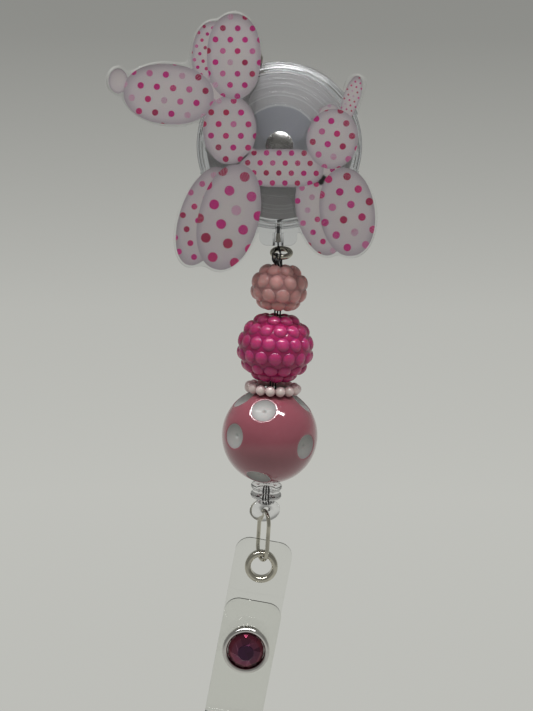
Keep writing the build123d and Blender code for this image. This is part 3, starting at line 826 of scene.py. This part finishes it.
def snap_cap():
    """The bright bezel round the stone, on its short shank."""
    profile = ([(0.0, 7.9), (0.0, 7.5), (4.5, 7.5)] + arc(4.55, 7.95, 0.4, -80, 0, 5)
               + arc(4.42, 8.4, 0.53, 0, 150, 12) + [(3.86, 8.3), (3.86, 7.9)])
    bm = lathe(profile, steps=128)
    join(bm, lathe([(0.0, 7.0), (1.38, 7.0), (1.38, 7.5), (0.0, 7.5)], steps=48))
    piece = to_object(bm, "snap_cap", polished_metal("bright_bezel", (0.78, 0.76, 0.74), 0.07, 0.08), "flap",
                      place=turned(SNAP), replaces=("snap_cap",))
    sharpen(piece, 50)
    return piece


# the stone's rings of corners: how many, radius, height and turn; then its colours from the table outward: a
# painted dark reflection on the table, purple on the crown, darker at the girdle
GEM_LEVELS = ((8, 1.65, 9.88, 22.5), (8, 3.05, 9.3, 0.0), (16, 3.8, 8.5, 11.25), (16, 3.8, 8.0, 11.25))
GEM_TONES_AND_REFLECTIONS = ((0.40, (0.04, 0.004, 0.035)), (0.44, (0.2, 0.05, 0.11)), (0.72, (0.22, 0.05, 0.09)),
             (0.78, (0.24, 0.03, 0.06)), (0.96, (0.12, 0.01, 0.02)))


def snap_gem():
    """A round faceted stone: eight-sided table, eight crown facets and a sloping girdle ring."""
    bm = bmesh.new()
    loops = []
    for count, radius, height, turn in GEM_LEVELS:
        made = bmesh.ops.create_circle(bm, segments=count, radius=radius * MM)["verts"]
        bmesh.ops.rotate(bm, verts=made, cent=(0, 0, 0), matrix=Matrix.Rotation(radians(turn), 3, "Z"))
        bmesh.ops.translate(bm, verts=made, vec=(0, 0, height * MM))
        loops.append([edge for edge in bm.edges if edge.verts[0] in made and edge.verts[1] in made])
    for upper, lower in zip(loops, loops[1:]):
        bmesh.ops.bridge_loops(bm, edges=upper + lower)
    bmesh.ops.contextual_create(bm, geom=loops[0])
    bmesh.ops.contextual_create(bm, geom=loops[-1])

    def build(label):
        paint = Paint(label, Roughness=0.05, Metallic=0.9, Coat_Weight=0.5, Coat_Roughness=0.02, IOR=1.6)
        flat = paint.node("ShaderNodeVectorMath", {"operation": "SUBTRACT"}, {
            0: paint.coords, 1: tuple(SNAP)})
        across, _, up = paint.split(flat.out(0))
        away = (across * across + up * up).math("SQRT") * (1 / MM)
        around = across.math("ARCTAN2", up) * (4 / pi)      # counts the eight crown facets

        def level(facet):
            """A random painted reflection brightness for each facet's number."""
            random = paint.node("ShaderNodeTexWhiteNoise", {"noise_dimensions": "1D"}, {"W": facet})
            return random.out("Value")

        inner = away.below(3.0, 0.1)
        # painted reflections: each facet darkens by its own random amount, standing in for how it catches
        # light
        spark = level((around + 0.5).math("FLOOR")) * inner
        spark = spark + level((around * 2.0).math("FLOOR") + 31.0) * (1.0 - inner)
        # purple with a painted dark reflection on the table
        tone = paint.ramp(away * 0.25, *GEM_TONES_AND_REFLECTIONS)
        paint.set(Base_Color=paint.mix(spark * 0.75, tone, (0.03, 0.002, 0.02)))
        paint.set(Roughness=spark * 0.12 + 0.04)
        return paint

    return to_object(bm, "snap_gem", material("purple_gem", build), "flap", place=turned(SNAP),
                     smooth=False, replaces=("snap_gem",))


# ---- reel ----
def rounded(corners, radius, steps=3):
    """A closed profile with each corner turned into a small arc."""
    made = []
    count = len(corners)
    for k, corner in enumerate(corners):
        here = Vector(corner)
        before = Vector(corners[k - 1]) - here
        after = Vector(corners[(k + 1) % count]) - here
        reach = min(radius, before.length * 0.45, after.length * 0.45)
        start, end = here + before.normalized() * reach, here + after.normalized() * reach
        for share in [n / steps for n in range(steps + 1)]:
            point = start * (1 - share) ** 2 + here * 2 * share * (1 - share) + end * share ** 2
            made.append((point.x, point.y))
    return made


# the stepped front cover, as radius and depth in millimetres: outside first, then the hollow inside
COVER_STEPS = (
    (16.4, 6.42), (16.4, 7.0), (16.0, 7.4), (15.7, 7.4), (15.6, 7.8), (14.3, 8.0), (14.1, 8.4), (13.1, 8.4),
    (13.0, 8.8), (12.1, 8.8), (12.0, 9.1), (10.5, 9.1), (10.3, 9.5), (8.35, 9.5), (8.35, 9.3), (8.05, 9.3),
    (8.05, 9.5), (1.55, 9.5), (1.55, 8.2), (9.8, 8.2), (12.2, 7.8), (14.4, 7.3), (15.2, 6.9), (15.2, 6.42),
)


def front_cover():
    bm = lathe(rounded(COVER_STEPS, look().step_rounding / MM), steps=160)
    piece = to_object(bm, "front_cover", reel_plastic(), "reel", place=FRONT,
                      replaces=("front_cover",))
    sharpen(piece, 50)
    return piece


def reel_plastic():
    return clear_plastic("clear_case", (0.93, 0.94, 0.96), ior=1.46, roughness=0.03, wear=0.08)


SPOOL_R = 14
# radii of the painted highlight rings on the spool, in millimetres
SPOOL_HIGHLIGHT_RINGS = (9.85, 11.7, 12.4, 13.2)


def frosted():
    """Frosted plastic with a greyer hub, and thin bright rings round the axis that are painted highlights."""
    def build(label):
        paint = Paint(label, IOR=1.4, Roughness=0.4)
        grain = paint.noise(1500, 3)
        away = paint.node("ShaderNodeVectorMath", {"operation": "MULTIPLY"}, {0: paint.coords, 1: (1, 0, 1)})
        reach = paint.node("ShaderNodeVectorMath", {"operation": "LENGTH"}, {0: away.out(0)}).out("Value")
        # line is the colour of the painted highlight rings, also at the hub's edge
        disc, ring, line = (0.60, 0.60, 0.64), (0.80, 0.77, 0.76), (1.0, 0.99, 0.97)
        bands = [(0.54, disc), (0.56, line), (0.58, ring)]
        for spot in [radius / SPOOL_R for radius in SPOOL_HIGHLIGHT_RINGS]:
            bands += [(spot - 0.012, ring), (spot, line), (spot + 0.012, ring)]
        paint.set(Base_Color=paint.ramp(reach * (1 / (SPOOL_R * MM)) + grain * 0.02 - 0.01, *bands))
        paint.set(Roughness=grain * 0.25 + 0.28)
        paint.bump(grain, 0.08)
        return paint
    return material("frosted_plastic", build)


def spring_steel():
    def build(label):
        paint = Paint(label, Base_Color=(0.3, 0.3, 0.31), Metallic=1.0, Roughness=0.3)
        brushed = paint.noise(1900, 2)
        paint.set(Base_Color=paint.ramp(brushed, (0.3, (0.2, 0.2, 0.21)), (0.7, (0.38, 0.38, 0.4))))
        paint.set(Roughness=brushed * 0.2 + 0.2)
        return paint
    return material("spring_steel", build)


def foam_tape():
    def build(label):
        paint = Paint(label, Base_Color=(0.62, 0.6, 0.58), Roughness=0.7)
        cells = paint.noise(2400, 2)
        paint.set(Base_Color=paint.ramp(cells, (0.3, (0.5, 0.48, 0.47)), (0.7, (0.72, 0.7, 0.68))))
        paint.bump(cells, 0.3)
        return paint
    return material("foam_tape", build)


def nickel():
    return polished_metal("nickel", (0.66, 0.63, 0.54), 0.12, 0.14)


def dress(node, shade):
    """Give a kept frame node its material."""
    piece = frame["nodes"][node]
    if not piece.material_slots:
        piece.data.materials.append(shade)
    for slot in piece.material_slots:
        slot.material = shade


# ---- settings ----
def colour(name, description, default):
    return FloatVectorProperty(name=name, description=description, default=default, size=3, min=0, max=1,
                               subtype="COLOR")


class BadgeReelLook(bpy.types.PropertyGroup):
    """Sizes and colours that a user may change."""

    step_rounding: FloatProperty(name="Step Rounding", description="Radius on the steps of the clear cover",
                                 default=0.3 * MM, min=0.01 * MM, unit="LENGTH", precision=5)
    dome_edge: FloatProperty(name="Dome Edge", description="Width of the rounding round the topper's front",
                             default=0.45 * MM, min=0.01 * MM, unit="LENGTH", precision=5)
    pink_stud: FloatProperty(name="Pink Studs", description="Radius of the studs on the upper bead",
                             default=1.55 * MM, unit="LENGTH", precision=5)
    magenta_stud: FloatProperty(name="Magenta Studs", description="Radius of the studs on the large bead",
                                default=1.5 * MM, unit="LENGTH", precision=5)
    # the shade colours are painted shade in the gaps between the studs
    pink_painted_shade: colour("Pink Shade", "Upper bead between its studs", (0.62, 0.25, 0.25))
    pink_light: colour("Pink", "Upper bead on its studs", (0.84, 0.42, 0.40))
    magenta_painted_shade: colour("Magenta Shade", "Large bead between its studs", (0.42, 0.012, 0.11))
    magenta_light: colour("Magenta", "Large bead on its studs", (0.64, 0.06, 0.23))


class BadgeReelStage(bpy.types.PropertyGroup):
    """Where the camera stands and how it looks at the object."""

    camera_place: FloatVectorProperty(name="Camera", description="Where the camera stands",
                                      default=(-0.0021, -0.248, -0.008), size=3, subtype="XYZ", unit="LENGTH")
    camera_pitch: FloatProperty(name="Pitch", description="How far the camera looks down",
                                default=radians(8), subtype="ANGLE")
    camera_roll: FloatProperty(name="Roll", description="How far the camera leans to one side",
                               default=radians(0.6), subtype="ANGLE")
    lens: FloatProperty(name="Focal Length", description="Focal length on a 36 mm frame", default=60.8,
                        min=1, unit="CAMERA")


def look():
    return bpy.context.scene.badge_reel_look


# ---- operators ----
class BADGEREEL_OT_case(bpy.types.Operator):
    """Make the clear stepped cover and finish the rear case"""

    bl_idname = "badge_reel.case"
    bl_label = "Case"

    def execute(self, context):
        front_cover()
        dress("rear_case", reel_plastic())
        return {"FINISHED"}


class BADGEREEL_OT_winding(bpy.types.Operator):
    """Wind the cord on the spool and finish the spool and its spring"""

    bl_idname = "badge_reel.winding"
    bl_label = "Spool and Cord"

    def execute(self, context):
        wound_cord()
        pull_cord()
        dress("spool", frosted())
        dress("mainspring", spring_steel())
        dress("cord_run", cord_fabric())
        return {"FINISHED"}


class BADGEREEL_OT_topper(bpy.types.Operator):
    """Make the balloon dog: clear back, printed film and domed front"""

    bl_idname = "badge_reel.topper"
    bl_label = "Balloon Dog"

    def execute(self, context):
        clear_layer("topper_acrylic", clear_plastic("clear_acrylic"), 0)
        printed_layer()
        clear_layer("topper_dome", clear_plastic("clear_dome", ior=1.48), look().dome_edge)
        dress("adhesive_pad", foam_tape())
        return {"FINISHED"}


class BADGEREEL_OT_studded_beads(bpy.types.Operator):
    """Make the two beads covered in round studs"""

    bl_idname = "badge_reel.studded_beads"
    bl_label = "Studded Beads"

    def execute(self, context):
        pink = studded_resin("pink_resin", tuple(look().pink_painted_shade), tuple(look().pink_light),
                             (1.0, 0.35, 0.3))
        studded_bead("pink_bead", 6.0, 5.0, 4, 50, look().pink_stud / MM, pink)
        magenta = studded_resin("magenta_resin", tuple(look().magenta_painted_shade), tuple(look().magenta_light),
                                (1.0, 0.1, 0.25))
        studded_bead("magenta_bead", 8.0, 7.2, 6, 60, look().magenta_stud / MM, magenta)
        return {"FINISHED"}


class BADGEREEL_OT_smooth_beads(bpy.types.Operator):
    """Make the pearl ring, the dotted bead, the clear rondelle and the end loop"""

    bl_idname = "badge_reel.smooth_beads"
    bl_label = "Smooth Beads"

    def execute(self, context):
        pearl_spacer()
        polka_bead()
        clear_rondelle()
        end_loop()
        return {"FINISHED"}


class BADGEREEL_OT_strands(bpy.types.Operator):
    """Lay the cords that carry the beads over the jump ring"""

    bl_idname = "badge_reel.strands"
    bl_label = "Bead Cords"

    def execute(self, context):
        bead_strands()
        return {"FINISHED"}


class BADGEREEL_OT_hardware(bpy.types.Operator):
    """Finish the plated clip, rivet, rings, link, eyelet and snap parts"""

    bl_idname = "badge_reel.hardware"
    bl_label = "Metal Parts"

    def execute(self, context):
        plated = nickel()
        for node in ("clip_base", "clip_lever", "clip_pin", "swivel_washer", "cord_ferrule", "jump_ring",
                     "oval_link", "eyelet", "eyelet_washer", "snap_socket", "snap_stud", "snap_post"):
            dress(node, plated)
        dress("centre_rivet", polished_metal("rivet_steel", (0.42, 0.41, 0.4), 0.16, 0.2))
        dress("clip_spring", spring_steel())
        return {"FINISHED"}


class BADGEREEL_OT_strap(bpy.types.Operator):
    """Fold the clear strap"""

    bl_idname = "badge_reel.strap"
    bl_label = "Strap"

    def execute(self, context):
        strap_strip()
        return {"FINISHED"}


class BADGEREEL_OT_snap(bpy.types.Operator):
    """Make the snap's bright bezel and its faceted stone"""

    bl_idname = "badge_reel.snap"
    bl_label = "Snap"

    def execute(self, context):
        snap_cap()
        snap_gem()
        return {"FINISHED"}


class BADGEREEL_OT_stage(bpy.types.Operator):
    """Set the room, the lamps and the camera"""

    bl_idname = "badge_reel.stage"
    bl_label = "Stage"

    def execute(self, context):
        room_light()
        lights()
        camera()
        return {"FINISHED"}


# ---- stage ----
# the room's brightness at each height of the view direction, from straight down to straight up
BACK_TONES = ((-1.0, 0.5), (-0.36, 0.51), (-0.25, 0.52), (-0.1, 0.47), (0.12, 0.27), (0.4, 0.2))
FRONT_TONES = ((-1.0, 0.5), (-0.35, 0.45), (-0.1, 0.22), (1.0, 0.2))


def room_stops(tones):
    """A ramp's stops from the tones, warmed a little."""
    return [((height + 1) / 2, (level, level * 1.005, level * 0.945)) for height, level in tones]


def room_light():
    """A grey room that is lighter behind and below, and leaves nothing in any view's way."""
    world = bpy.data.worlds.new("soft_room")
    bpy.context.scene.world = world
    world.use_nodes = True
    room = Nodes(world.node_tree)
    _, away, up = room.split(room.node("ShaderNodeTexCoord", {}, {}).out("Generated"))
    height = up * 0.5 + 0.5
    behind = (away * 2.0 + 0.4).limited()
    front, back = (room.ramp(height, *room_stops(tones)) for tones in (FRONT_TONES, BACK_TONES))
    tone = room.mix(behind, front, back)
    shade = room.node("ShaderNodeBackground", {}, {"Color": tone})
    room.node("ShaderNodeOutputWorld", {}, {0: shade.out(0)})


def area_light(name, place, target, size, power):
    data = bpy.data.lights.new(name, "AREA")
    data.shape = "DISK"
    data.size = size
    data.energy = power
    lamp = new_object(name, data)
    aim = Vector(target) - Vector(place)
    lamp.matrix_world = Matrix.Translation(place) @ aim.to_track_quat("-Z", "Y").to_matrix().to_4x4()
    return lamp


def lights():
    """A long lamp overhead, a small bright one beside it, and a soft one from behind."""
    middle = (Vector(cad_box[0]) + Vector(cad_box[1])) / 2
    strip = area_light("overhead", middle + Vector((-0.02, -0.14, 0.42)), middle, size=0.6, power=2.3)
    strip.data.shape = "RECTANGLE"
    strip.data.size_y = 0.06
    area_light("spark", middle + Vector((0.03, -0.2, 0.4)), middle, size=0.02, power=0.3)
    area_light("wash", middle + Vector((0, 0.12, 0.5)), middle + Vector((0, 0.2, -0.1)), size=0.3, power=0.6)
    bpy.context.scene.view_settings.view_transform = "Standard"


def camera():
    stage = bpy.context.scene.badge_reel_stage
    data = bpy.data.cameras.new("camera")
    data.lens = stage.lens
    data.sensor_width = 36
    data.clip_start = 0.01
    eye = new_object("camera", data)
    turn = Matrix.Rotation(pi / 2 - stage.camera_pitch, 4, "X") @ Matrix.Rotation(stage.camera_roll, 4, "Z")
    eye.matrix_world = Matrix.Translation(stage.camera_place) @ turn
    bpy.context.scene.camera = eye


# ---- panel and registration ----
MAKERS = (
    BADGEREEL_OT_stage, BADGEREEL_OT_case, BADGEREEL_OT_winding, BADGEREEL_OT_topper,
    BADGEREEL_OT_studded_beads, BADGEREEL_OT_smooth_beads, BADGEREEL_OT_strands, BADGEREEL_OT_hardware,
    BADGEREEL_OT_strap, BADGEREEL_OT_snap,
)


class BADGEREEL_PT_panel(bpy.types.Panel):
    """Lists the pieces and their settings"""

    bl_idname = "BADGEREEL_PT_panel"
    bl_label = "Badge Reel"
    bl_space_type = "VIEW_3D"
    bl_region_type = "UI"
    bl_category = "Badge Reel"

    def draw(self, context):
        for maker in MAKERS:
            self.layout.operator(maker.bl_idname)
        for group in (context.scene.badge_reel_look, context.scene.badge_reel_stage):
            for name in group.bl_rna.properties.keys():
                if name not in ("rna_type", "name"):
                    self.layout.prop(group, name)


CLASSES = (BadgeReelLook, BadgeReelStage, *MAKERS, BADGEREEL_PT_panel)


def register():
    for cls in CLASSES:
        bpy.utils.register_class(cls)
    bpy.types.Scene.badge_reel_look = PointerProperty(type=BadgeReelLook)
    bpy.types.Scene.badge_reel_stage = PointerProperty(type=BadgeReelStage)


def unregister():
    del bpy.types.Scene.badge_reel_stage
    del bpy.types.Scene.badge_reel_look
    for cls in reversed(CLASSES):
        bpy.utils.unregister_class(cls)


def main():
    register()
    for maker in MAKERS:
        group, name = maker.bl_idname.split(".")
        getattr(getattr(bpy.ops, group), name)()


if __name__ == "__main__":
    main()
